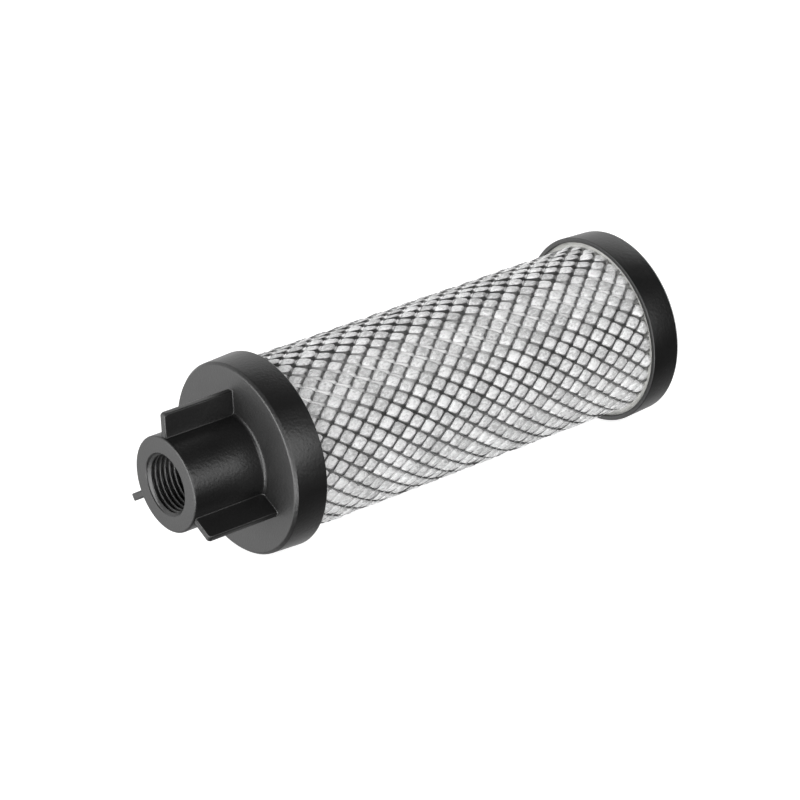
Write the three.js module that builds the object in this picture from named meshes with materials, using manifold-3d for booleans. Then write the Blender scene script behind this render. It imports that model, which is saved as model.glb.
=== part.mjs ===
// Pneumatic exhaust muffler: a threaded inlet cap with three hand wings, a closed end cap,
// and between them a perforated core tube wrapped in sound-absorbing layers and held in by a
// sleeve of expanded aluminium. Both ends are potted into the caps with casting resin.
//
// Millimetres. +X runs along the axis from the port to the closed end, +Z is up, and the
// origin is the centre of the port face. Everything is coaxial with X.

import * as THREE from "three";
import { mergeVertices } from "three/addons/utils/BufferGeometryUtils.js";
import Module from "manifold-3d";

const wasm = await Module();
wasm.setup();

// ---- Driving dimensions ------------------------------------------------------------------

const overallLength = 190; // port face to closed end face
const capDiameter = 65; // over the lips of both caps

// The port: an ISO 228 G 1/2 female thread, made here as a plain bore at its minor diameter.
const threadMajorDiameter = 20.955;
const threadPitch = 1.814;
const threadLength = 17;
const mouthRelief = 0.1; // how far the mouth's chamfer opens past the major radius
const passageDiameter = 17; // below the thread, so the pipe end meets a shoulder

// The boss round the port, and its wings.
const bossLength = 27;
const bossWall = 5.5; // outside the thread's major radius
const bossEdgeRadius = 0.6;
const bossRootRadius = 1.3;
const wingCount = 3;
const wingReach = 8.2; // past the boss
const wingThickness = 2.5;
const wingSetback = 0.8; // from the port face
const wingCornerRadius = 1.2;
const wingEdge = 0.4; // small bevel round each wing

// Both caps: a plate, an outer lip, and a spigot that the core tube slides over.
const capDepth = 12;
const capPlate = 4;
const lipWall = 1.7;
const capDraft = 0.5; // the plate's rim is this much smaller in radius than the lip
const capEdgeRadius = 1;
const spigotWall = 2.5;
const closedRecessDepth = 1.2;
const closedRecessRim = 9; // width of the flat ring left round the recess

// The layers, from the outside in.
const pottingBead = 1.7; // between the lip and the sleeve
const pottingFloor = 1.7;
const beadRecess = 1.3; // how far the bead stops short of the lip's end
const sleeveThickness = 1.1; // over the raised strands
const feltThickness = 2.2;
const scrimThickness = 0.5;
const coreWall = 0.8;

// The sleeve's diamonds, drawn at twice the real pitch.
const diamondsAround = 15;
const diamondLength = 15.8;
const strandWidth = 1.9;
const selvage = 5; // plain band at each end, inside the cap

// The core tube's holes.
const holesAround = 8;
const holeDiameter = 4;
const holePitch = 14;
const holeSides = 6;

const clearance = 0.3; // between any two pieces that meet
const whitworthDepth = 0.640327; // depth of a pipe thread's form, in pitches
const roundSides = 48; // sides of a full circle on turned pieces
const arcSteps = 4; // straight steps in each rounded corner

// ---- Worked-out dimensions ---------------------------------------------------------------

const capRadius = capDiameter / 2;
const capFaceRadius = capRadius - capDraft;
const threadRadius = threadMajorDiameter / 2 - whitworthDepth * threadPitch;
const mouthRadius = threadMajorDiameter / 2 + mouthRelief;
const bossRadius = threadMajorDiameter / 2 + bossWall;
const passageRadius = passageDiameter / 2;
const spigotRadius = passageRadius + spigotWall;
const lipInnerRadius = capRadius - lipWall;

const inletPlateStart = bossLength;
const inletTroughStart = inletPlateStart + capPlate;
const inletLipEnd = inletPlateStart + capDepth;
const closedLipEnd = overallLength - capDepth;
const closedTroughEnd = overallLength - capPlate;

const layersStart = inletTroughStart + clearance + pottingFloor + clearance;
const layersEnd = closedTroughEnd - clearance - pottingFloor - clearance;

// The sleeve and the core tube have few sides, so a round neighbour inside one of them clears
// its flats and not its corners. Radii are measured to the corners.
const sleeveSides = 2 * diamondsAround;
const coreSides = 2 * holesAround;
const flatness = (sides) => Math.cos(Math.PI / sides);

const sleeveOuter = lipInnerRadius - pottingBead;
const sleeveInner = sleeveOuter - sleeveThickness;
const feltOuter = sleeveInner * flatness(sleeveSides) - clearance;
const feltInner = feltOuter - feltThickness;
const backingOuter = feltInner - clearance;
const backingInner = backingOuter - scrimThickness;
const coreInner = (spigotRadius + clearance) / flatness(coreSides);
const coreOuter = coreInner + coreWall;
const scrimInner = coreOuter + clearance;
const scrimOuter = scrimInner + scrimThickness;
const absorberInner = scrimOuter + clearance;
const absorberOuter = backingInner - clearance;
const pottingInner = spigotRadius + clearance;
const pottingOuter = lipInnerRadius - clearance;
const beadInner = sleeveOuter + clearance;

// ---- Materials ---------------------------------------------------------------------------

const finish = (color, roughness, metalness = 0) =>
  new THREE.MeshStandardMaterial({ color, roughness, metalness });

const blackNylon = finish(0x1c1c1d, 0.42);
const aluminium = finish(0xb9bbbd, 0.35, 1);
const whiteFelt = finish(0xe9e9e6, 0.95);
const fibreWool = finish(0xe6dfc6, 1);
const scrimWeb = finish(0xdfe2e4, 0.9);
const zincSteel = finish(0x9a9d9f, 0.4, 1);
const castResin = finish(0xd8d6cf, 0.5);

// ---- Helpers -----------------------------------------------------------------------------

// A point of a turned profile: a radius and a place along the axis.
const at = (radius, x) => new THREE.Vector2(radius, x);

// Points of a quarter or other arc in a turned profile, ends included. Angles are in degrees,
// 0 pointing away from the axis and 90 pointing along +X.
function arc(radius, x, size, from, to) {
  const points = [];
  for (let i = 0; i <= arcSteps; i++) {
    const angle = THREE.MathUtils.degToRad(from + ((to - from) * i) / arcSteps);
    points.push(at(radius + size * Math.cos(angle), x + size * Math.sin(angle)));
  }
  return points;
}

// A ring-shaped solid of revolution about X. Its profile runs along +X on the outside and back
// along -X on the inside, and closes on itself.
function turned(profile, sides = roundSides) {
  const geometry = new THREE.LatheGeometry([...profile, profile[0]], sides);
  return geometry.rotateZ(-Math.PI / 2);
}

// A plain tube along X.
function tube(inner, outer, start, end, sides = roundSides) {
  return turned([at(inner, start), at(outer, start), at(outer, end), at(inner, end)], sides);
}

// A closed geometry as a manifold-3d solid.
function solid(geometry) {
  const bare = geometry.clone();
  bare.deleteAttribute("normal");
  bare.deleteAttribute("uv");
  const merged = mergeVertices(bare, 1e-4);
  const mesh = new wasm.Mesh({
    numProp: 3,
    vertProperties: merged.attributes.position.array,
    triVerts: new Uint32Array(merged.index.array),
  });
  return new wasm.Manifold(mesh);
}

// A manifold-3d solid as a geometry, with flat faces.
function geometryOf(made) {
  const mesh = made.getMesh();
  const geometry = new THREE.BufferGeometry();
  geometry.setAttribute("position", new THREE.BufferAttribute(mesh.vertProperties, 3));
  geometry.setIndex(new THREE.BufferAttribute(mesh.triVerts, 1));
  const flat = geometry.toNonIndexed();
  flat.computeVertexNormals();
  return flat;
}

const root = new THREE.Group();

function addPiece(name, geometry, material) {
  const mesh = new THREE.Mesh(geometry, material);
  mesh.name = name;
  root.add(mesh);
}

// ---- Inlet cap ---------------------------------------------------------------------------

// The boss, plate, lip and spigot, bored through. The profile starts at the port's mouth.
function inletCapBody() {
  const mouthDepth = mouthRadius - threadRadius;
  return turned([
    at(mouthRadius, 0),
    ...arc(bossRadius - bossEdgeRadius, bossEdgeRadius, bossEdgeRadius, -90, 0),
    ...arc(bossRadius + bossRootRadius, bossLength - bossRootRadius, bossRootRadius, 180, 90),
    ...arc(capFaceRadius - capEdgeRadius, inletPlateStart + capEdgeRadius, capEdgeRadius, -90, 0),
    at(capRadius, inletLipEnd),
    at(lipInnerRadius, inletLipEnd),
    at(lipInnerRadius, inletTroughStart),
    at(spigotRadius, inletTroughStart),
    at(spigotRadius, inletLipEnd),
    at(passageRadius, inletLipEnd),
    at(passageRadius, threadLength),
    at(threadRadius, threadLength),
    at(threadRadius, mouthDepth),
  ]);
}

// One wing standing up from the boss, from inside the boss's wall to its tip.
function wing() {
  const start = wingSetback + wingEdge;
  const end = inletPlateStart + capPlate / 2;
  const foot = bossRadius - bossWall / 2;
  const tip = bossRadius + wingReach - wingEdge;
  const outline = new THREE.Shape();
  outline.moveTo(start, foot);
  outline.lineTo(end, foot);
  outline.lineTo(end, tip);
  outline.lineTo(start + wingCornerRadius, tip);
  outline.quadraticCurveTo(start, tip, start, tip - wingCornerRadius);
  outline.closePath();
  const geometry = new THREE.ExtrudeGeometry(outline, {
    depth: wingThickness - 2 * wingEdge,
    bevelSize: wingEdge,
    bevelThickness: wingEdge,
    bevelSegments: 1,
    curveSegments: arcSteps,
  });
  // The outline lies in X and Y and is stood up, so that its Y becomes the part's +Z.
  geometry.translate(0, 0, -(wingThickness - 2 * wingEdge) / 2);
  return geometry.rotateX(Math.PI / 2);
}

function inletCap() {
  let cap = solid(inletCapBody());
  for (let i = 0; i < wingCount; i++) {
    const turnedWing = wing().rotateX((2 * Math.PI * i) / wingCount);
    cap = cap.add(solid(turnedWing));
  }
  return geometryOf(cap);
}

// ---- Closed cap --------------------------------------------------------------------------

// The plate with its shallow recess, the lip and the spigot's ring.
function closedCap() {
  const recessRadius = capFaceRadius - closedRecessRim;
  return turned([
    at(0, closedTroughEnd),
    at(passageRadius, closedTroughEnd),
    at(passageRadius, closedLipEnd),
    at(spigotRadius, closedLipEnd),
    at(spigotRadius, closedTroughEnd),
    at(lipInnerRadius, closedTroughEnd),
    at(lipInnerRadius, closedLipEnd),
    at(capRadius, closedLipEnd),
    ...arc(capFaceRadius - capEdgeRadius, overallLength - capEdgeRadius, capEdgeRadius, 0, 90),
    at(recessRadius + closedRecessDepth, overallLength),
    at(recessRadius, overallLength - closedRecessDepth),
    at(0, overallLength - closedRecessDepth),
  ]);
}

// ---- Potting -----------------------------------------------------------------------------

// Resin in the inlet cap's trough: a floor under the layers and a bead outside the sleeve.
function inletPotting() {
  const start = inletTroughStart + clearance;
  return turned([
    at(pottingInner, start),
    at(pottingOuter, start),
    at(pottingOuter, inletLipEnd - beadRecess),
    at(beadInner, inletLipEnd - beadRecess),
    at(beadInner, start + pottingFloor),
    at(pottingInner, start + pottingFloor),
  ]);
}

// The same in the closed cap, the other way round.
function closedPotting() {
  const end = closedTroughEnd - clearance;
  return turned([
    at(pottingInner, end - pottingFloor),
    at(beadInner, end - pottingFloor),
    at(beadInner, closedLipEnd + beadRecess),
    at(pottingOuter, closedLipEnd + beadRecess),
    at(pottingOuter, end),
    at(pottingInner, end),
  ]);
}

// ---- Expanded sleeve ---------------------------------------------------------------------

// Half the size of an open diamond, which is a full one less the strands round it. A strand
// cuts off 1 / sin and 1 / cos of its slope along the two diagonals.
const diamondPitchWidth = (2 * Math.PI * sleeveOuter) / diamondsAround;
const strandSlope = Math.atan2(diamondPitchWidth, diamondLength);
const diamondHalfLength = (diamondLength - strandWidth / Math.sin(strandSlope)) / 2;
const diamondHalfWidth = (diamondPitchWidth - strandWidth / Math.cos(strandSlope)) / 2;

// One diamond-shaped cutter standing on the sleeve's wall at the top.
function diamondCutter() {
  const reach = 2 * sleeveThickness;
  const outline = new THREE.Shape();
  outline.moveTo(-diamondHalfLength, 0);
  outline.lineTo(0, -diamondHalfWidth);
  outline.lineTo(diamondHalfLength, 0);
  outline.lineTo(0, diamondHalfWidth);
  outline.closePath();
  const geometry = new THREE.ExtrudeGeometry(outline, { depth: 2 * reach, bevelEnabled: false });
  return geometry.translate(0, 0, sleeveOuter - reach);
}

// A tube with staggered rows of diamonds cut through it, and a plain selvage at each end.
function sleeve() {
  const rowPitch = diamondLength / 2;
  const open = layersEnd - layersStart - 2 * selvage;
  const rows = Math.max(1, Math.floor((open - 2 * diamondHalfLength) / rowPitch) + 1);
  const first = (layersStart + layersEnd) / 2 - ((rows - 1) * rowPitch) / 2;
  const cutters = [];
  for (let row = 0; row < rows; row++) {
    for (let i = 0; i < diamondsAround; i++) {
      const turn = ((2 * i + (row % 2)) * Math.PI) / diamondsAround;
      const cutter = diamondCutter().rotateX(turn).translate(first + row * rowPitch, 0, 0);
      cutters.push(solid(cutter));
    }
  }
  const wall = solid(tube(sleeveInner, sleeveOuter, layersStart, layersEnd, sleeveSides));
  return geometryOf(wall.subtract(wasm.Manifold.union(cutters)));
}

// ---- Core tube ---------------------------------------------------------------------------

// A perforated tube with one staggered hole on every other flat side of each row.
function coreTube() {
  const open = closedLipEnd - inletLipEnd - 2 * holeDiameter;
  const rows = Math.max(1, Math.floor(open / holePitch) + 1);
  const first = (inletLipEnd + closedLipEnd) / 2 - ((rows - 1) * holePitch) / 2;
  const radius = holeDiameter / 2;
  const drills = [];
  for (let row = 0; row < rows; row++) {
    for (let i = 0; i < holesAround; i++) {
      const drill = new THREE.CylinderGeometry(radius, radius, 4 * coreWall, holeSides);
      drill.translate(0, coreOuter, 0);
      drill.rotateX(((2 * i + 0.5 + (row % 2)) * Math.PI) / holesAround);
      drills.push(solid(drill.translate(first + row * holePitch, 0, 0)));
    }
  }
  const wall = solid(tube(coreInner, coreOuter, layersStart, layersEnd, coreSides));
  return geometryOf(wall.subtract(wasm.Manifold.union(drills)));
}

// ---- Assembly ----------------------------------------------------------------------------

addPiece("inlet_cap", inletCap(), blackNylon);
addPiece("closed_cap", closedCap(), blackNylon);
addPiece("inlet_potting_ring", inletPotting(), castResin);
addPiece("closed_potting_ring", closedPotting(), castResin);
addPiece("expanded_sleeve", sleeve(), aluminium);
addPiece("felt_wrap", tube(feltInner, feltOuter, layersStart, layersEnd), whiteFelt);
addPiece("backing_scrim", tube(backingInner, backingOuter, layersStart, layersEnd), scrimWeb);
addPiece("absorber_blanket", tube(absorberInner, absorberOuter, layersStart, layersEnd), fibreWool);
addPiece("core_scrim", tube(scrimInner, scrimOuter, layersStart, layersEnd), scrimWeb);
addPiece("core_tube", coreTube(), zincSteel);

export default root;
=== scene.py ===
# %% [markdown]
# # A pneumatic exhaust muffler
# Compressed air enters through a threaded plastic cap, spreads through a perforated tube and
# leaves through layers of wadding and felt, which take the bang out of it. A sleeve of expanded
# aluminium holds the felt in. This lesson builds each piece as mesh, inside the frame that the
# CAD model fixes: the axis is X, the port's face is at x = 0 and one wing points straight up.

# %% Load the frame
import math

import bmesh
import bpy
import numpy as np
from mathutils import Matrix, Vector


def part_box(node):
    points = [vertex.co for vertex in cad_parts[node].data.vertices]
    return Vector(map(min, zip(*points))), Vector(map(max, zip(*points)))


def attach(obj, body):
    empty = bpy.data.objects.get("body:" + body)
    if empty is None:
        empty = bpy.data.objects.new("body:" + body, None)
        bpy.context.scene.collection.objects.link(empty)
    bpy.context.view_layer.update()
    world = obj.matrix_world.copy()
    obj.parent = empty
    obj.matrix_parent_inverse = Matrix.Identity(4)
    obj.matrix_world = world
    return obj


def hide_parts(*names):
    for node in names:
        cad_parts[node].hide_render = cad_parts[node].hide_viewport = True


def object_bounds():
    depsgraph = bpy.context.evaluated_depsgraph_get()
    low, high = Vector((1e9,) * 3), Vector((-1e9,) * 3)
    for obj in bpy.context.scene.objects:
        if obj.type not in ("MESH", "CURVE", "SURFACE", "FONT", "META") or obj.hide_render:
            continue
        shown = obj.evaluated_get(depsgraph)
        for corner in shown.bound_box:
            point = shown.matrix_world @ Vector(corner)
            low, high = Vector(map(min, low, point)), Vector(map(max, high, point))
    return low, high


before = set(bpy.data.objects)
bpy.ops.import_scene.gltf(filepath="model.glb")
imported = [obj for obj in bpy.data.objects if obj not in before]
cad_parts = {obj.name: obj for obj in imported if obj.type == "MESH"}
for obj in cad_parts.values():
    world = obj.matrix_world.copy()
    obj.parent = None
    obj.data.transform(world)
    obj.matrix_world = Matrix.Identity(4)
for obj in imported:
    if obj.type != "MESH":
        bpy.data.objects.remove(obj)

MM = 0.001
cad_low, cad_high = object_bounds()
print("CAD box, mm:", [round(v / MM, 2) for v in (*cad_low, *cad_high)])

# %% [markdown]
# ## Sizes that the frame already knows
# Every piece sits where its CAD solid sits, so the lengths along the axis and the radii are read
# from the solids' boxes. A box's top is the largest radius of a round piece, and the small gaps
# that the solids keep are closed here, as they are on a real glued and potted part.


# %% Read lengths and radii from the boxes
def along(node):
    low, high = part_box(node)
    return low.x / MM, high.x / MM


def radius_of(node):
    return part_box(node)[1].z / MM


_, inlet_lip_x = along("inlet_cap")
closed_lip_x, closed_face_x = along("closed_cap")
layer_start_x, layer_end_x = along("expanded_sleeve")
cap_radius = radius_of("closed_cap")
sleeve_radius = radius_of("expanded_sleeve")
felt_radius = radius_of("felt_wrap")
backing_radius = radius_of("backing_scrim")
absorber_radius = radius_of("absorber_blanket")
core_scrim_radius = radius_of("core_scrim")
core_radius = radius_of("core_tube")
print(f"layers run from {layer_start_x:.1f} to {layer_end_x:.1f} mm")

# %% [markdown]
# ## The camera
# A long lens, about 150 mm, from over a metre away keeps parallel edges nearly parallel, as in
# product photography. It looks at the port end from the left and from above, and it is rolled a
# little. An azimuth of 0 looks along +Y.

# %% Place the camera
CAMERA_AZIMUTH = -37.95
CAMERA_ELEVATION = 23.95
CAMERA_ROLL = -2.54
CAMERA_DISTANCE = 1093 * MM
CAMERA_LENS = 149.9
SENSOR_WIDTH = 36
AIM_OFFSET = Vector((-0.7, -0.1, -0.3)) * MM

camera_data = bpy.data.cameras.new("camera")
camera_data.lens = CAMERA_LENS
camera_data.sensor_width = SENSOR_WIDTH
camera_data.clip_start = 0.05
camera_data.clip_end = 20
camera = bpy.data.objects.new("camera", camera_data)
bpy.context.scene.collection.objects.link(camera)
bpy.context.scene.camera = camera

azimuth, elevation = math.radians(CAMERA_AZIMUTH), math.radians(CAMERA_ELEVATION)
towards_camera = Vector(
    (
        math.sin(azimuth) * math.cos(elevation),
        -math.cos(azimuth) * math.cos(elevation),
        math.sin(elevation),
    )
)
middle = (cad_low + cad_high) / 2
camera.location = middle + AIM_OFFSET + towards_camera * CAMERA_DISTANCE
facing = (-towards_camera).to_track_quat("-Z", "Y").to_matrix()
camera.rotation_mode = "QUATERNION"
roll = Matrix.Rotation(math.radians(CAMERA_ROLL), 3, "Z")
camera.rotation_quaternion = (facing @ roll).to_quaternion()
print("camera at, mm:", [round(v / MM) for v in camera.location])

# %% [markdown]
# ## Writing shaders as arithmetic
# A node tree is hard to read as a list of links. Wrapping a socket in a small class lets the
# ordinary operators add the Math nodes, so a rule such as "roughness is 0.3 plus a tenth of the
# mottling" is one line. Colours are blended with Mix nodes, since Math nodes would grey them.


# %% Wrap a socket and a node tree
class Wire:
    """One output of a node, which arithmetic can be done on."""

    def __init__(self, nodes, socket):
        self.nodes = nodes
        self.socket = socket

    def maths(self, operation, first, second):
        return self.nodes.add("Math", {"operation": operation}, {0: first, 1: second})

    def __add__(self, other):
        return self.maths("ADD", self, other)

    def __radd__(self, other):
        return self.maths("ADD", other, self)

    def __sub__(self, other):
        return self.maths("SUBTRACT", self, other)

    def __rsub__(self, other):
        return self.maths("SUBTRACT", other, self)

    def __mul__(self, other):
        return self.maths("MULTIPLY", self, other)

    def __rmul__(self, other):
        return self.maths("MULTIPLY", other, self)

    def __pow__(self, other):
        return self.maths("POWER", self, other)

    def __rpow__(self, other):
        return self.maths("POWER", other, self)


class Nodes:
    """An emptied node tree that is filled one call at a time."""

    def __init__(self, owner):
        owner.use_nodes = True
        self.tree = owner.node_tree
        self.tree.nodes.clear()

    def add(self, kind, settings=None, sockets=None, output=0):
        """Adds one node: its settings first, then the values or wires of its sockets."""
        node = self.tree.nodes.new("ShaderNode" + kind)
        for key, value in (settings or {}).items():
            setattr(node, key, value)
        for key, value in (sockets or {}).items():
            self.set(node, key, value)
        return Wire(self, node.outputs[output]) if node.outputs else node

    def set(self, node, key, value):
        if isinstance(value, Wire):
            self.tree.links.new(value.socket, node.inputs[key])
        else:
            node.inputs[key].default_value = value

    def mix(self, factor, first, second):
        """Blends two colours. A Mix node's sockets share names, so they go by number."""
        sockets = {0: factor, 6: first, 7: second}
        return self.add("Mix", {"data_type": "RGBA"}, sockets, output=2)


def grey(level):
    return (level, level, level, 1)


# %% A finish and the patterns that every finish uses
class Finish:
    """A material with one Principled shader, and the patterns that its maker needs."""

    def __init__(self, name, **fixed):
        self.name = name
        self.material = bpy.data.materials.new(name)
        self.nodes = Nodes(self.material)
        surface = self.nodes.add("BsdfPrincipled")
        self.shader = surface.socket.node
        self.nodes.add("OutputMaterial", {}, {"Surface": surface})
        for key, value in fixed.items():
            self.feed(key.replace("_", " "), value)
        self.place = self.nodes.add("TexCoord", output="Object")

    def feed(self, socket, value):
        self.nodes.set(self.shader, socket, value)

    def colour(self, factor, first, second):
        self.feed("Base Color", self.nodes.mix(factor, first, second))

    def bump(self, height, depth_mm):
        sockets = {"Height": height, "Distance": depth_mm * MM}
        self.feed("Normal", self.nodes.add("Bump", {}, sockets))

    def noise(self, grain_mm, detail, stretch=(1, 1, 1), roughness=0.5):
        """Cloudy noise whose patches are about grain_mm across, or longer along an axis
        where stretch is under 1."""
        place = self.nodes.add(
            "VectorMath", {"operation": "MULTIPLY"}, {0: self.place, 1: stretch}
        )
        sockets = {
            "Vector": place,
            "Scale": 1 / (grain_mm * MM),
            "Detail": detail,
            "Roughness": roughness,
        }
        return self.nodes.add("TexNoise", {}, sockets)

    def cells(self, size_mm, output="Distance"):
        """Cells about size_mm across, as the distance to a cell's middle or its colour."""
        sockets = {"Vector": self.place, "Scale": 1 / (size_mm * MM)}
        return self.nodes.add("TexVoronoi", {}, sockets, output)

    def facing_x(self):
        """How squarely the surface faces along the axis, from 0 to 1."""
        normal = self.nodes.add("TexCoord", output="Normal")
        along_axis = self.nodes.add(
            "VectorMath", {"operation": "DOT_PRODUCT"}, {0: normal, 1: (1, 0, 0)}, "Value"
        )
        return along_axis * along_axis

    def ready(self):
        print(f"{self.name}: {len(self.nodes.tree.nodes)} nodes")
        finishes[self.name] = self.material


finishes = {}

# %% [markdown]
# ## Black moulded nylon
# Both caps are glass-filled nylon. Its skin is satin, not glossy, because the fibres dimple it,
# and the flow of the melt leaves faint cloudy marks. So the colour stays almost black, and most
# of the life is in the roughness and in a very shallow bump. The mould's flat faces were left
# rougher than its turned sides, so a surface that faces along the axis is duller.

# %% Nylon
finish = Finish("black_nylon", IOR=1.6)
flow = finish.noise(6, 2, (0.35, 1, 1))
peel = finish.noise(0.9, 2)
grain = finish.noise(0.2, 3)
finish.colour(flow, grey(0.006), grey(0.011))
flat_face = finish.facing_x() ** 3
finish.feed("Roughness", 0.25 + flow * 0.1 + grain * 0.12 + flat_face * 0.2)
finish.bump(grain * 0.6 + peel * 5, 0.016)
finish.ready()

# %% [markdown]
# ## Bright expanded aluminium
# The sheet was bright when it was slit. The press stretched and twisted each strand, which left
# fine drawn lines along it and patches of duller skin. A metal's look is all reflection, so the
# patterns go into its colour and its roughness, with hardly any bump.

# %% Aluminium
finish = Finish("expanded_aluminium", Metallic=1.0)
drawn = finish.noise(0.12, 3, (0.25, 1, 1))
dull = finish.noise(2.5, 2)
finish.colour(drawn * 0.5 + dull * 0.5, grey(0.28), grey(0.42))
finish.feed("Roughness", 0.26 + dull * 0.1 + drawn * 0.08)
finish.bump(drawn, 0.012)
finish.ready()

# %% [markdown]
# ## White needled felt
# Felt is a mat of crossing fibres. A stretched noise gives the lay of the fibres, a fine one
# gives the fuzz, and a little sheen lifts the grazing parts. The mottling that they make in the
# colour is far stronger than the felt's own tone: it also paints the shade between the fibres as
# darker spots. Each pillow between the strands is pressed a little differently, so the mesh
# carries a tone for each one.

# %% Felt
finish = Finish("white_felt", Roughness=0.95, Sheen_Weight=0.25, Sheen_Roughness=0.6)
fuzz = finish.noise(1.0, 5, roughness=0.75)
lay = finish.noise(0.8, 3, (0.4, 1, 1), 0.6)
tone = finish.nodes.add("Attribute", {"attribute_name": "pillow_tone"}, output="Fac")
# Part fibre tone, part painted shade: the dark spots stand for shadows between the fibres.
light = 0.8 * tone + 2.4 * lay + 2.6 * fuzz - 2.3
finish.colour(light, grey(0.48), grey(0.90))
finish.bump(fuzz + lay, 0.35)
finish.ready()

# %% [markdown]
# ## Cast resin
# The layers stand in resin that was poured into each cap. Where it shows it is pale and slightly
# glossy, with clouds where it soaked into the felt. A thin coat over a cloudy body gives both.

# %% Resin
finish = Finish("cast_resin", Coat_Weight=0.25, Coat_Roughness=0.2)
cloud = finish.noise(2.2, 3)
speck = finish.noise(0.4, 2)
finish.colour(cloud, (0.27, 0.27, 0.26, 1), (0.50, 0.50, 0.48, 1))
finish.feed("Roughness", 0.32 + speck * 0.2)
finish.bump(cloud + speck * 0.4, 0.08)
finish.ready()

# %% [markdown]
# ## The hidden layers
# Non-woven scrim is a thin web of fibres bonded at small dots. Wadding is loose fibre in warm
# clumps. The core tube is zinc plated, and zinc sets in crystals, which a Voronoi texture draws
# as cells of slightly different grey.

# %% Scrim, wadding and zinc
finish = Finish("scrim_web", Roughness=0.85)
fibre = finish.noise(0.6, 4, (0.25, 1, 1), 0.65)
dots = finish.cells(1.2)
finish.colour(fibre, grey(0.52), grey(0.82))
finish.bump(fibre + dots * 300, 0.05)
finish.ready()

finish = Finish("absorber_fibre", Roughness=1.0)
clump = finish.noise(5, 4, (0.5, 1, 1), 0.6)
strand = finish.noise(0.5, 5, (0.2, 1, 1), 0.7)
warm_shade, warm_light = (0.52, 0.44, 0.28, 1), (0.88, 0.83, 0.68, 1)
finish.colour(clump * 0.6 + strand * 0.4, warm_shade, warm_light)
finish.bump(clump + strand, 0.5)
finish.ready()

finish = Finish("zinc_plated_steel", Metallic=1.0)
spangle = finish.nodes.add("RGBToBW", {}, {0: finish.cells(3.0, "Color")})
scratch = finish.noise(0.3, 3, (0.1, 1, 1))
finish.colour(spangle, grey(0.42), grey(0.62))
finish.feed("Roughness", 0.28 + spangle * 0.15 + scratch * 0.1)
finish.bump(scratch, 0.01)
finish.ready()

# %% [markdown]
# ## Rings, lofts and turned pieces
# Nearly everything here is round, so a mesh is a stack of rings joined by quads. A turned piece
# repeats one outline round the axis. Sharp corners look fake in any render, so each corner of an
# outline carries its own small radius.


# %% Mesh helpers
WELD_DISTANCE = 0.0005 * MM


def ring(x, radius, angles):
    """Points round the axis. An angle of 0 is up, and it grows towards -Y."""
    y, z = -radius * np.sin(angles), radius * np.cos(angles)
    return np.stack(np.broadcast_arrays(x, y, z), axis=-1)


def even_angles(count):
    return np.arange(count) * (2 * math.pi / count)


def rounded(corners, steps=5):
    """An outline of (radius, x) points from (radius, x, rounding) corners."""
    outline = []
    for i, (radius, x, size) in enumerate(corners):
        here = Vector((radius, x))
        if not size:
            outline.append(here)
            continue
        back = (Vector(corners[i - 1][:2]) - here).normalized()
        on = (Vector(corners[(i + 1) % len(corners)][:2]) - here).normalized()
        half = back.angle(on) / 2
        centre = here + (back + on).normalized() * (size / math.sin(half))
        first = here + back * (size / math.tan(half)) - centre
        last = here + on * (size / math.tan(half)) - centre
        sweep = first.angle(last)
        for k in range(steps + 1):
            share = k / steps
            weights = math.sin((1 - share) * sweep), math.sin(share * sweep)
            outline.append(centre + (first * weights[0] + last * weights[1]) / math.sin(sweep))
    return outline


def loft(rings, closed=True):
    """Points and quads of a skin over rings of equal length. A closed one joins its ends."""
    rings = np.asarray(rings)
    index = np.arange(rings.shape[0] * rings.shape[1]).reshape(rings.shape[:2])
    here, after = index, np.roll(index, -1, axis=0)
    if not closed:
        here, after = here[:-1], after[:-1]
    quads = [here, np.roll(here, -1, axis=1), np.roll(after, -1, axis=1), after]
    return rings.reshape(-1, 3), np.stack(quads, axis=-1).reshape(-1, 4)


def piece(name, points, faces, node, slot, sharp=32, tone=None):
    """One mesh object that stands for a CAD node, with its slot, finish and body."""
    mesh = bpy.data.meshes.new(name)
    mesh.from_pydata((np.asarray(points) * MM).tolist(), [], [list(f) for f in faces])
    if tone is not None:
        mesh.attributes.new("pillow_tone", "FLOAT", "POINT").data.foreach_set("value", tone)
    work = bmesh.new()
    work.from_mesh(mesh)
    bmesh.ops.remove_doubles(work, verts=work.verts, dist=WELD_DISTANCE)
    bmesh.ops.recalc_face_normals(work, faces=work.faces)
    work.to_mesh(mesh)
    work.free()
    mesh.polygons.foreach_set("use_smooth", [True] * len(mesh.polygons))
    mesh.set_sharp_from_angle(angle=math.radians(sharp))
    made = bpy.data.objects.new(name, mesh)
    bpy.context.scene.collection.objects.link(made)
    made.data.materials.append(finishes[slot])
    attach(made, "root")
    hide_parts(node)
    print(f"{name}: {len(mesh.vertices)} points, {len(mesh.polygons)} faces")
    return made


def solidify(made, thickness, sharp=40):
    """Thickens a sheet about its middle, as plain mesh whose corners stay crisp."""
    thick = made.modifiers.new("thickness", "SOLIDIFY")
    thick.thickness = thickness * MM
    thick.offset = 0
    solved = made.evaluated_get(bpy.context.evaluated_depsgraph_get())
    mesh = bpy.data.meshes.new_from_object(solved)
    made.modifiers.clear()
    made.data = mesh
    mesh.set_sharp_from_angle(angle=math.radians(sharp))
    print(f"{made.name}: {len(mesh.polygons)} faces once solid")


# %% [markdown]
# ## The inlet cap's boss and wings
# The boss is a round neck with three wings, moulded in one with the cap. It could be joined from
# solids and bevelled, but bevels fail where a wing meets a round neck and a flat face at once.
# Instead each slice across the axis is drawn as one outline: neck, fillet, wing side, rounded
# tip. The outline grows into the cap's face along a fillet, and the slices are lofted. The sizes
# are in millimetres. The first four come from the G 1/2 thread, whose major diameter is 20.955.

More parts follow.
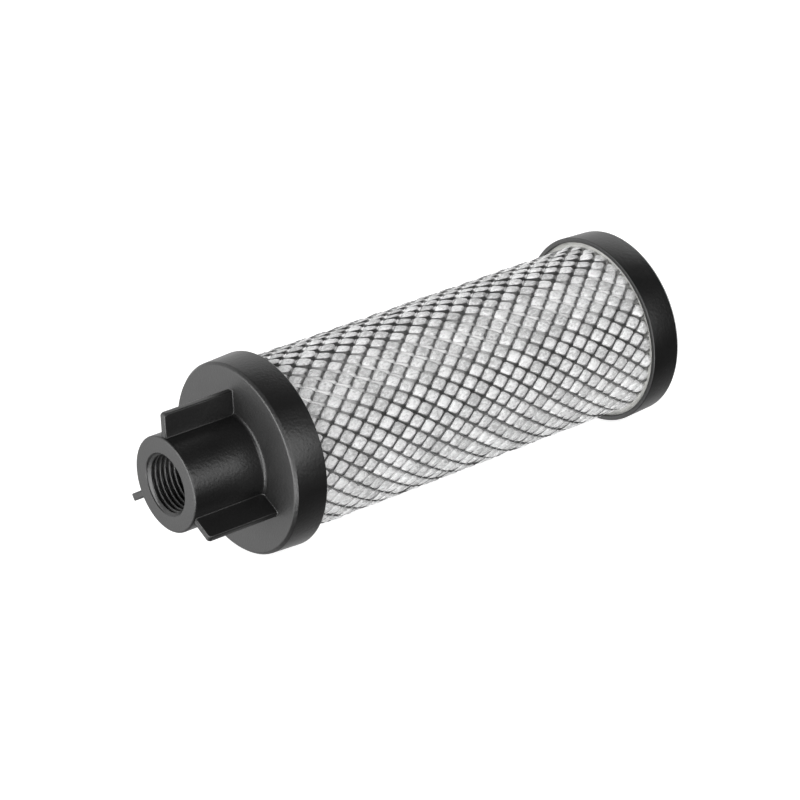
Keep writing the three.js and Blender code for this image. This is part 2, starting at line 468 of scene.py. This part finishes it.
# %% Sizes of the inlet cap
MAJOR_RADIUS = 20.955 / 2
THREAD_PITCH = 1.814
THREAD_DEPTH = 0.640327 * THREAD_PITCH
MINOR_RADIUS = MAJOR_RADIUS - THREAD_DEPTH
MOUTH_RADIUS = MAJOR_RADIUS + 0.1
MOUTH_EDGE = 0.15
THREAD_LENGTH = 17
PASSAGE_RADIUS = 8.5
SPIGOT_RADIUS = 11
BOSS_RADIUS = MAJOR_RADIUS + 5.5
BOSS_LENGTH = 27
BOSS_EDGE = 0.7
BOSS_ROOT = 1.3
WING_TIP = BOSS_RADIUS + 8.2
WING_HALF = 1.25
WING_SETBACK = 0.8
WING_EDGE = 0.45
WING_CORNER = 1.3
WING_FILLET = 0.4
FACE_INNER = BOSS_RADIUS + 10
LIP_WALL = 1.7
PLATE = 4
CHAMFER = 1.1
DRAFT = 0.5
print(f"wings reach {WING_TIP:.1f} mm and the flat face starts at {FACE_INNER:.1f} mm")


# %% One slice across the boss
TIP_STEPS = 6
SIDE_STEPS = 7
FILLET_STEPS = 9
NECK_STEPS = 37


def sixth_of_slice(neck, tip, half, fillet, edge):
    """(across, out) points of the slice's half from a wing's middle to halfway to the next."""
    lean = math.asin((half + fillet) / (neck + fillet))
    foot = (neck + fillet) * math.cos(lean)
    points = [(0.0, tip)]
    for a in np.linspace(90, 0, TIP_STEPS):
        a = math.radians(a)
        points.append((half - edge + edge * math.cos(a), tip - edge + edge * math.sin(a)))
    for share in np.linspace(0, 1, SIDE_STEPS)[1:-1]:
        points.append((half, (tip - edge) * (1 - share) + foot * share))
    end = math.pi + math.atan2(foot, half + fillet)
    for a in np.linspace(math.pi, end, FILLET_STEPS):
        points.append((half + fillet + fillet * math.cos(a), foot + fillet * math.sin(a)))
    for a in np.linspace(lean, math.pi / 3, NECK_STEPS)[1:]:
        points.append((neck * math.sin(a), neck * math.cos(a)))
    return np.array(points)


def slice_across(neck, tip, half, fillet, edge):
    """(y, z) points of the whole slice, three wings round the axis."""
    side = sixth_of_slice(neck, tip, half, fillet, edge)
    mirrored = side[:0:-1] * (-1, 1)
    sector = np.concatenate([mirrored, side[:-1]])
    around = []
    for wing in range(3):
        turn = wing * 2 * math.pi / 3
        across, out = sector[:, 0], sector[:, 1]
        y = -out * math.sin(turn) - across * math.cos(turn)
        z = out * math.cos(turn) - across * math.sin(turn)
        around.append(np.stack([y, z], axis=-1))
    return np.concatenate(around)


def placed(x, section):
    """The slice's points in space, at x."""
    return np.column_stack([np.full(len(section), x), section])


def angles_of(section):
    """The angle round the axis of each of the slice's points."""
    return np.arctan2(-section[:, 0], section[:, 1])


full_slice = slice_across(BOSS_RADIUS, WING_TIP, WING_HALF, WING_FILLET, WING_EDGE)
slice_angles = angles_of(full_slice)
print(f"a slice has {len(full_slice)} points")


# %% [markdown]
# ## The port's thread
# A G 1/2 pipe thread has 55 degree flanks and rounded crests. The bore's radius is a function
# of how far along the helix a point is, so rings close together follow it with no boolean. The
# chamfer at the mouth cuts the first turn away, and the last turns fade out.


# %% The threaded bore
RUNOUT_START = THREAD_LENGTH - 0.5
RUNOUT_LENGTH = 1.5 * THREAD_PITCH
RINGS_PER_TURN = 16


def bore_radius(x, angles):
    """The bore at x: straight flanks, with parabolas for the crests and the roots."""
    phase = np.abs((x / THREAD_PITCH - angles / (2 * math.pi) + 0.5) % 1 - 0.5)
    height = 1.5 * (4 * phase - 1)
    crest = np.sign(height) * (1 - (1.5 - np.abs(height)) ** 2 / 2)
    height = np.where(np.abs(height) > 0.5, crest, height)
    middle_radius = (MAJOR_RADIUS + MINOR_RADIUS) / 2
    cut = middle_radius + height * THREAD_DEPTH / 2
    fade = np.clip((RUNOUT_START - x) / RUNOUT_LENGTH, 0, 1)
    cut = MINOR_RADIUS + (cut - MINOR_RADIUS) * fade
    return np.maximum(cut, MOUTH_RADIUS - x)


def bore_rings():
    places = np.linspace(THREAD_LENGTH, 0, round(THREAD_LENGTH / THREAD_PITCH * RINGS_PER_TURN))
    return [ring(x, bore_radius(x, slice_angles), slice_angles) for x in places]


# %% Slices from the port face to the cap's face
PLAIN_START = 4
NEARLY_QUARTER = 1.57


def fillet_growth(x, size):
    """How far a root fillet of this size has grown outwards at x."""
    into = max(0.0, x - (BOSS_LENGTH - size))
    return size - math.sqrt(max(0.0, size * size - into * into))


def wing_slice(x):
    """The slice at x, with the wing's front edge and corner and the fillets at the face."""
    past = x - WING_SETBACK
    shy = max(0.0, WING_EDGE - past)
    inset = WING_EDGE - math.sqrt(WING_EDGE**2 - shy**2)
    shy = max(0.0, WING_CORNER - past)
    cut = WING_CORNER - math.sqrt(WING_CORNER**2 - shy**2)
    grown = fillet_growth(x, WING_FILLET)
    return placed(
        x,
        slice_across(
            BOSS_RADIUS + fillet_growth(x, BOSS_ROOT),
            WING_TIP - max(inset, cut) + grown,
            WING_HALF - inset + grown,
            WING_FILLET + inset,
            WING_EDGE - 0.9 * inset + grown * 0.6,
        ),
    )


def boss_rings():
    """From the port's mouth over the rounded front edge and along the boss to the face."""
    rings = [ring(0, MOUTH_RADIUS + MOUTH_EDGE, slice_angles)]
    for a in np.linspace(0, math.pi / 2, 6):
        edge_radius = BOSS_RADIUS - BOSS_EDGE + BOSS_EDGE * math.sin(a)
        rings.append(ring(BOSS_EDGE - BOSS_EDGE * math.cos(a), edge_radius, slice_angles))
    rings.append(ring(WING_SETBACK, BOSS_RADIUS, slice_angles))
    edge_turns = np.linspace(0, NEARLY_QUARTER, 6)
    root_turns = np.linspace(0, NEARLY_QUARTER, 14)[1:]
    near = [WING_SETBACK + WING_EDGE * (1 - math.cos(a)) for a in edge_turns]
    corner = [WING_SETBACK + share * WING_CORNER for share in (0.5, 0.7, 0.85, 1)]
    plain = list(np.linspace(PLAIN_START, BOSS_LENGTH - BOSS_ROOT, 8))
    root = [BOSS_LENGTH - BOSS_ROOT * (1 - math.sin(a)) for a in root_turns]
    rings += [wing_slice(x) for x in near + corner + plain + root]
    return rings


# %% The cap behind the face, and the whole piece
def inlet_cap():
    face_radius = cap_radius - DRAFT
    lip_radius = cap_radius - LIP_WALL
    trough_x = BOSS_LENGTH + PLATE
    corners = [
        (FACE_INNER, BOSS_LENGTH, 0),
        (face_radius - CHAMFER * 0.8, BOSS_LENGTH, 0.9),
        (face_radius, BOSS_LENGTH + CHAMFER, 0.4),
        (cap_radius, inlet_lip_x, 0.35),
        (lip_radius, inlet_lip_x, 0.35),
        (lip_radius, trough_x, 0.4),
        (SPIGOT_RADIUS, trough_x, 0.4),
        (SPIGOT_RADIUS, inlet_lip_x, 0.5),
        (PASSAGE_RADIUS, inlet_lip_x, 0.5),
        (PASSAGE_RADIUS, THREAD_LENGTH, 0.3),
        (PASSAGE_RADIUS + 0.4, THREAD_LENGTH, 0),
    ]
    root_angles = angles_of(wing_slice(BOSS_LENGTH)[:, 1:])
    turned = [ring(x, radius, root_angles) for radius, x in rounded(corners)]
    points, quads = loft(bore_rings() + boss_rings() + turned)
    piece("inlet_cap_moulding", points, quads, "inlet_cap", "black_nylon")


inlet_cap()

# %% [markdown]
# ## The closed cap
# The other cap is the same plate and lip without a port. A shallow dish in its end keeps the
# plate from sinking as it cools, and the pip in the middle is where the gate was cut off.


# %% Turn the closed cap
DISH_RADIUS = 22.5
DISH_DEPTH = 1.2
PIP_RADIUS = 1.6
PIP_HEIGHT = 0.5
CAP_SIDES = 288


def closed_cap():
    face_radius = cap_radius - DRAFT
    lip_radius = cap_radius - LIP_WALL
    trough_x = closed_face_x - PLATE
    dish_x = closed_face_x - DISH_DEPTH
    corners = [
        (0, trough_x, 0),
        (PASSAGE_RADIUS, trough_x, 0.4),
        (PASSAGE_RADIUS, closed_lip_x, 0.5),
        (SPIGOT_RADIUS, closed_lip_x, 0.5),
        (SPIGOT_RADIUS, trough_x, 0.4),
        (lip_radius, trough_x, 0.4),
        (lip_radius, closed_lip_x, 0.35),
        (cap_radius, closed_lip_x, 0.35),
        (face_radius, closed_face_x - CHAMFER, 0.5),
        (face_radius - CHAMFER * 0.8, closed_face_x, 0.5),
        (DISH_RADIUS + DISH_DEPTH * 0.6, closed_face_x, 0.4),
        (DISH_RADIUS, dish_x, 0.5),
        (PIP_RADIUS + 0.2, dish_x, 0.15),
        (PIP_RADIUS, dish_x + PIP_HEIGHT, 0.15),
        (0, dish_x + PIP_HEIGHT, 0),
    ]
    angles = even_angles(CAP_SIDES)
    rings = [ring(x, radius, angles) for radius, x in rounded(corners)]
    points, quads = loft(rings, closed=False)
    piece("closed_cap_moulding", points, quads, "closed_cap", "black_nylon")


closed_cap()

# %% [markdown]
# ## The expanded sleeve
# Expanded metal starts as a sheet with rows of short slits. Pulling it opens each slit into a
# diamond and twists the strands between them, so they stand like louvres. A tube of wire would
# miss that, so the strands are laid out as the sheet itself: ribbons that swing from side to side
# and touch their neighbours at the bonds. Ribbons share their points at a bond, which makes one
# sheet with diamond holes, and Solidify then gives it thickness. LATTICE_SHIFT and LATTICE_TURN
# say where the pattern starts, along the axis and round it.

# %% Sizes of the sleeve
DIAMONDS_AROUND = 30
DIAMOND_LENGTH = 7.9
STRAND_WIDTH = 1.08
STRAND_THICKNESS = 0.32
STRAND_TILT = math.radians(-30)
BOND_HALF = 0.5
LATTICE_SHIFT = -1.40
LATTICE_TURN = math.radians(3.59)
SPARE_DIAMONDS = 10
END_SLACK = 0.1
sleeve_depth = 2 * STRAND_WIDTH * math.sin(abs(STRAND_TILT)) + STRAND_THICKNESS
sleeve_middle = sleeve_radius - sleeve_depth / 2
half_row = math.pi / DIAMONDS_AROUND
lattice_x = (inlet_lip_x + closed_lip_x) / 2 + LATTICE_SHIFT
print(f"diamonds {DIAMOND_LENGTH} by {2 * half_row * sleeve_radius:.2f} mm")


# %% Lay out the ribbons
def strand_stations():
    """Places along one diamond's length, with the swing of an even ribbon there."""
    quarter = DIAMOND_LENGTH / 2 - BOND_HALF
    going = [(BOND_HALF + (quarter - BOND_HALF) * s, 1 - 2 * s) for s in np.linspace(0, 1, 6)]
    back = [(DIAMOND_LENGTH - place, swing) for place, swing in going[::-1]]
    return [(0, 1), *going, (DIAMOND_LENGTH / 2, -1), *back]


def sleeve_ribbons():
    """Two edges for each ribbon round the tube. The run starts and ends beyond the layers, and
    is cut to their length."""
    first = lattice_x - SPARE_DIAMONDS * DIAMOND_LENGTH
    run = np.array(
        [
            (first + turn * DIAMOND_LENGTH + place, swing)
            for turn in range(2 * SPARE_DIAMONDS)
            for place, swing in strand_stations()
        ]
    )
    kept = (run[:, 0] >= layer_start_x - END_SLACK) & (run[:, 0] <= layer_end_x + END_SLACK)
    run = run[kept]
    along_x, swing = run[:, 0], run[:, 1]
    flat = STRAND_WIDTH * math.cos(STRAND_TILT) / sleeve_middle
    rise = STRAND_WIDTH * math.sin(STRAND_TILT) / 2
    throw = (half_row - flat) / 2
    rows = []
    for ribbon in range(2 * DIAMONDS_AROUND):
        way = 1 if ribbon % 2 == 0 else -1
        angle = LATTICE_TURN + ribbon * half_row + way * throw * swing
        lift = -way * rise * swing
        for side in (-1, 1):
            at_angle = angle + side * flat / 2
            radius = sleeve_middle + lift + side * rise
            rows.append(ring(along_x, radius, at_angle))
    return np.array(rows)


def expanded_sleeve():
    rows = sleeve_ribbons()
    count = rows.shape[1]
    index = np.arange(rows.shape[0] * count).reshape(rows.shape[:2])
    low, high = index[0::2], index[1::2]
    quads = [low[:, :-1], low[:, 1:], high[:, 1:], high[:, :-1]]
    quads = np.stack(quads, axis=-1).reshape(-1, 4)
    made = piece(
        "expanded_sleeve_mesh",
        rows.reshape(-1, 3),
        quads,
        "expanded_sleeve",
        "expanded_aluminium",
        sharp=40,
    )
    solidify(made, STRAND_THICKNESS)


expanded_sleeve()

# %% [markdown]
# ## The felt
# Felt under the sleeve swells into every diamond and is nipped under every strand. Cloth
# simulation would find the same shape slowly. The diamonds are a regular lattice, so slanted
# coordinates that count strands in both directions give each point its pillow directly, and
# random numbers for each pillow vary its height, its tilt and its tone. A pillow spreads by
# PILLOW_REACH of a diamond each way, and PILLOW_SHIFT moves it a little round the axis, away
# from the raised edges of the tilted strands.

# %% Sizes of the felt
FELT_THICKNESS = 2.2
END_GAP = 0.1
PILLOW_HEIGHT = 1.45
PILLOW_BASE = 27.55
PILLOW_SHIFT = 0.045
PILLOW_REACH = 0.475
STEPS_ALONG = 16
STEPS_ACROSS = 12
LUMP_HEIGHT = 0.02
ROW_OFFSET = 200
PILLOW_DRAWS = 60000
random = np.random.default_rng(7)
print(f"pillows swell from {PILLOW_BASE} mm by about {PILLOW_HEIGHT} mm")


# %% Swell the felt into the diamonds
def felt_wrap():
    start, end = layer_start_x + END_GAP, layer_end_x - END_GAP
    count = round((end - start) / DIAMOND_LENGTH * STEPS_ALONG)
    along_x = np.linspace(start, end, count)
    angles = even_angles(DIAMONDS_AROUND * STEPS_ACROSS)
    phase = (along_x[:, None] - lattice_x) / DIAMOND_LENGTH
    row = (angles[None, :] - LATTICE_TURN) / (2 * half_row)
    rising, falling = phase + row - 0.25, phase - row + 0.25
    i, j = np.floor(rising).astype(int), np.floor(falling).astype(int)
    near_i, near_j = rising - i - 0.5, falling - j - 0.5
    edge_i = np.abs(near_i + PILLOW_SHIFT) / PILLOW_REACH
    edge_j = np.abs(near_j - PILLOW_SHIFT) / PILLOW_REACH
    swell = np.clip(1 - edge_i**5 - edge_j**5, 0, 1) ** 0.6
    pillow = (i + j + ROW_OFFSET) * 2 * DIAMONDS_AROUND + (i - j) % (2 * DIAMONDS_AROUND)
    height = random.uniform(0.8, 1.15, PILLOW_DRAWS)[pillow]
    tilt_i = random.uniform(-0.35, 0.35, PILLOW_DRAWS)[pillow]
    tilt_j = random.uniform(-0.35, 0.35, PILLOW_DRAWS)[pillow]
    tone = random.uniform(0.0, 1.0, PILLOW_DRAWS)[pillow]
    lump = random.normal(0, LUMP_HEIGHT, swell.shape)
    radius = PILLOW_BASE + swell * (
        PILLOW_HEIGHT * height * (1 + tilt_i * near_i + tilt_j * near_j) + lump
    )
    skin = np.array([ring(x, radius[k], angles) for k, x in enumerate(along_x)])
    back = np.array([ring(x, felt_radius - FELT_THICKNESS, angles) for x in (end, start)])
    points, quads = loft(np.concatenate([skin, back]))
    tones = np.concatenate([tone.ravel(), np.full(2 * len(angles), 0.5)])
    made = piece(
        "felt_wrap_swollen", points, quads, "felt_wrap", "white_felt", sharp=80, tone=tones
    )


felt_wrap()

# %% [markdown]
# ## The resin beads
# Resin climbs a little where it meets the lip and the sleeve, and dries with a slack, uneven
# surface between. A ring with a hollow face and slow waves round it reads as poured. It stops
# short of the cap's lip, reaches in under the sleeve, and goes on down to the cap's plate.


# %% Pour the beads
BEAD_SIDES = 360
BEAD_RECESS = 1.0
BEAD_HOLLOW = 0.55
BEAD_REACH = 1.3
LIP_CLEARANCE = 0.02
CLEARANCE = 0.05
FULL_TURN = 6.28


def potting(name, node, face_x, floor_x, seed):
    waves = np.random.default_rng(seed)
    angles = even_angles(BEAD_SIDES)
    slump = sum(
        waves.uniform(0.03, 0.09) * np.sin(turns * angles + waves.uniform(0, FULL_TURN))
        for turns in (2, 5, 9, 14, 23)
    )
    inward = 1 if floor_x > face_x else -1
    inner, outer = sleeve_radius - BEAD_REACH, cap_radius - LIP_WALL - LIP_CLEARANCE
    rings = []
    for share in np.linspace(0, 1, 9):
        hollow = BEAD_HOLLOW * math.sin(math.pi * share) ** 0.7
        depth = face_x + inward * (BEAD_RECESS + hollow + slump * math.sin(math.pi * share))
        rings.append(ring(depth, inner + (outer - inner) * share, angles))
    rings.append(ring(floor_x, outer, angles))
    rings.append(ring(floor_x, SPIGOT_RADIUS + CLEARANCE, angles))
    layers_x = layer_end_x + CLEARANCE if inward > 0 else layer_start_x - CLEARANCE
    rings.append(ring(layers_x, SPIGOT_RADIUS + CLEARANCE, angles))
    rings.append(ring(layers_x, inner, angles))
    points, quads = loft(rings)
    piece(name, points, quads, node, "cast_resin", sharp=50)


closed_floor_x = closed_face_x - PLATE - CLEARANCE
inlet_floor_x = BOSS_LENGTH + PLATE + CLEARANCE
potting("closed_potting_bead", "closed_potting_ring", closed_lip_x, closed_floor_x, 3)
potting("inlet_potting_bead", "inlet_potting_ring", inlet_lip_x, inlet_floor_x, 5)

# %% [markdown]
# ## The core tube
# Under the layers is a tube rolled from perforated steel. Each hole and the square of metal
# round it is one small pattern, repeated with every other row turned by half a step.

# %% Sizes of the core tube
CORE_WALL = 0.8
HOLES_AROUND = 16
HOLE_STEP = 4.7
HOLE_RADIUS = 1.45
SQUARE_STEPS = 4


# %% Roll the perforated tube
def square_points():
    """Points round a square of side 1, from one of its corners."""
    edge = np.linspace(-0.5, 0.5, SQUARE_STEPS + 1)[:-1]
    square = [(s, -0.5) for s in edge] + [(0.5, s) for s in edge]
    square += [(-s, 0.5) for s in edge] + [(-0.5, -s) for s in edge]
    return np.array(square)


def core_tube():
    radius = core_radius - CORE_WALL / 2
    square = square_points()
    around = 2 * math.pi / HOLES_AROUND
    rows = int((layer_end_x - layer_start_x) / HOLE_STEP)
    first = (layer_start_x + layer_end_x - (rows - 1) * HOLE_STEP) / 2
    bearing = np.arctan2(square[:, 1], square[:, 0])
    hole = np.column_stack([np.cos(bearing) * HOLE_RADIUS, np.sin(bearing) * HOLE_RADIUS])
    frame_points = square * (HOLE_STEP, radius * around)
    points, quads = [], []
    for row in range(rows):
        for column in range(HOLES_AROUND):
            turn = (column + 0.5 * (row % 2)) * around
            for flat in (frame_points, hole):
                along_x = first + row * HOLE_STEP + flat[:, 0]
                points.append(ring(along_x, radius, turn + flat[:, 1] / radius))
            outer = (len(points) - 2) * len(square)
            inner = outer + len(square)
            for k in range(len(square)):
                after = (k + 1) % len(square)
                quads.append((outer + k, outer + after, inner + after, inner + k))
    made = piece(
        "core_tube_perforated",
        np.concatenate(points),
        quads,
        "core_tube",
        "zinc_plated_steel",
        sharp=40,
    )
    solidify(made, CORE_WALL)


core_tube()

# %% [markdown]
# ## Scrims and wadding
# The scrims are webs wound once round, one on the core tube and one under the felt. The wadding
# between them is a thick soft tube whose surface is lumpy, because it is wound from a blanket.
# All three are tubes here, and a sum of slow random waves makes the lumps.

# %% Sizes of the wound layers
SCRIM_THICKNESS = 0.5
SCRIM_LUMPS = 0.06
WADDING_LUMPS = 0.3
WADDING_GAP = 0.3
LAYER_SIDES = 180
LAYER_STATIONS = 100
WAVE_COUNT = 14
wadding_thickness = absorber_radius - (core_scrim_radius + WADDING_GAP)
print(f"wadding is {wadding_thickness:.1f} mm thick")


# %% Wind the layers round the core
def wound_layer(name, node, slot, outer, thickness, lumps, seed):
    """A tube with a lumpy outside, and its size when laid flat, in metres."""
    bumps = np.random.default_rng(seed)
    start, end = layer_start_x + END_GAP, layer_end_x - END_GAP
    angles = even_angles(LAYER_SIDES)
    along_x = np.linspace(start, end, LAYER_STATIONS)
    wave = np.zeros((len(along_x), len(angles)))
    for _ in range(WAVE_COUNT):
        turns, stretch = bumps.integers(1, 9), bumps.uniform(0.03, 0.3)
        shift = bumps.uniform(0, FULL_TURN)
        wave += np.sin(turns * angles[None, :] + stretch * along_x[:, None] + shift)
    wave *= lumps / WAVE_COUNT
    skin = [ring(x, outer - lumps + wave[k], angles) for k, x in enumerate(along_x)]
    back = [ring(x, outer - thickness, angles) for x in (end, start)]
    points, quads = loft(skin + back)
    made = piece(name, points, quads, node, slot, sharp=60)
    return made, (2 * math.pi * outer * MM, (end - start) * MM)


backing, flat = wound_layer(
    "backing_scrim_web",
    "backing_scrim",
    "scrim_web",
    backing_radius,
    SCRIM_THICKNESS,
    SCRIM_LUMPS,
    11,
)
core_web, flat = wound_layer(
    "core_scrim_web",
    "core_scrim",
    "scrim_web",
    core_scrim_radius,
    SCRIM_THICKNESS,
    SCRIM_LUMPS,
    12,
)
wadding, _ = wound_layer(
    "absorber_wadding",
    "absorber_blanket",
    "absorber_fibre",
    absorber_radius,
    wadding_thickness,
    WADDING_LUMPS,
    13,
)

# %% [markdown]
# ## The floor
# The floor is a wide pale sheet that glows evenly, so that it stays white and carries only a
# soft shadow. Only the camera sees it. The object mirrors the sky below the horizon in its
# place, which keeps the undersides from washing out.

# %% Floor
FLOOR_HALF = 6
floor_corners = [(-1, -1), (1, -1), (1, 1), (-1, 1)]
floor_points = [(x * FLOOR_HALF, y * FLOOR_HALF, cad_low.z) for x, y in floor_corners]
floor_mesh = bpy.data.meshes.new("floor")
floor_mesh.from_pydata(floor_points, [], [(0, 1, 2, 3)])
floor = bpy.data.objects.new("floor", floor_mesh)
bpy.context.scene.collection.objects.link(floor)

finish = Finish("floor", Roughness=0.9, Emission_Color=grey(1.0), Emission_Strength=0.85)
finish.colour(finish.noise(300, 2), grey(0.50), grey(0.52))
finish.ready()
floor_mesh.materials.append(finish.material)
floor.visible_glossy = False
floor.visible_diffuse = False

# %% [markdown]
# ## The sky that the object reflects
# Black plastic and bright metal show mostly what they mirror, so the sky does most of the
# drawing. It is dark in front and overhead, bright behind, and has patches at the left and the
# right that put highlights on the rims. Each patch is a product of smooth fades over x, y or z
# of the direction, which run from -1 to 1, so its edges are soft as a lit cloth's are.

# %% Sky
SKY_DARK = 0.04
SKY_BEHIND = 1.1
SKY_TABLE = 0.36
SKY_LEFT = 1.3
SKY_PANEL = 7
SKY_LOW_PANEL = 9
SKY_RIGHT = 2.2


def studio_sky():
    world = bpy.data.worlds.new("studio")
    bpy.context.scene.world = world
    nodes = Nodes(world)
    direction = nodes.add("TexCoord", output="Generated")
    split = nodes.add("SeparateXYZ", {}, {0: direction}).socket.node
    x, y, z = (Wire(nodes, output) for output in split.outputs)

    def fade(value, dark, light):
        """Rises smoothly from 0, where the value is dark, to 1, where it is light."""
        sockets = {"Value": value, "From Min": dark, "From Max": light}
        return nodes.add("MapRange", {"interpolation_type": "SMOOTHSTEP"}, sockets)

    behind = fade(y, 0.05, 0.25) * fade(z, 0.86, 0.68) * (1 - 0.5 * fade(z, -0.5, -0.8))
    left = fade(x, -0.2, -0.5) * fade(z, 0.75, 0.4) * fade(z, -0.75, -0.45)
    panel = fade(x, -0.84, -0.94)
    low_panel = fade(x, -0.5, -0.65) * fade(y, -0.35, -0.5) * fade(z, -0.15, -0.3)
    right = fade(x, 0.7, 0.85) * fade(y, 0.08, 0.25)
    # A dim patch below the horizon stands in for the table.
    table = fade(z, -0.3, -0.6) * fade(y, -0.55, -0.1)
    level = SKY_DARK + behind * SKY_BEHIND + (1 - behind) * table * SKY_TABLE + left * SKY_LEFT
    level = level + panel * SKY_PANEL + low_panel * SKY_LOW_PANEL + right * SKY_RIGHT
    shade = nodes.add("Background", {}, {"Strength": level})
    nodes.add("OutputWorld", {}, {"Surface": shade})
    print(f"sky: {len(nodes.tree.nodes)} nodes")


studio_sky()

# %% [markdown]
# ## Two soft boxes
# A wide soft box in front, a little above the object, lights the felt and the near sides. It is
# mirrored too, as the long highlight on the caps. A weak one overhead fills the top, and it is
# kept out of the reflections.


# %% Soft boxes
def soft_box(name, place, target, size, watts, glossy):
    data = bpy.data.lights.new(name, "AREA")
    data.shape = "ELLIPSE"
    data.size, data.size_y = size
    data.energy = watts
    box = bpy.data.objects.new(name, data)
    bpy.context.scene.collection.objects.link(box)
    box.location = place
    box.rotation_mode = "QUATERNION"
    box.rotation_quaternion = (target - place).to_track_quat("-Z", "Y")
    box.visible_glossy = glossy
    print(f"{name}: {watts} W, {size[0]} by {size[1]} m")


near_cap = Vector((33, 0, 0)) * MM
front_place = Vector((33, -856, 278)) * MM
top_place = middle + Vector((0.0, 0.1, 1.3))
soft_box("front", front_place, near_cap, (1.31, 0.745), 6.0, glossy=True)
soft_box("top", top_place, middle, (1.0, 1.0), 3.0, glossy=False)
bpy.context.scene.view_settings.view_transform = "Standard"
bpy.context.scene.view_settings.look = "None"
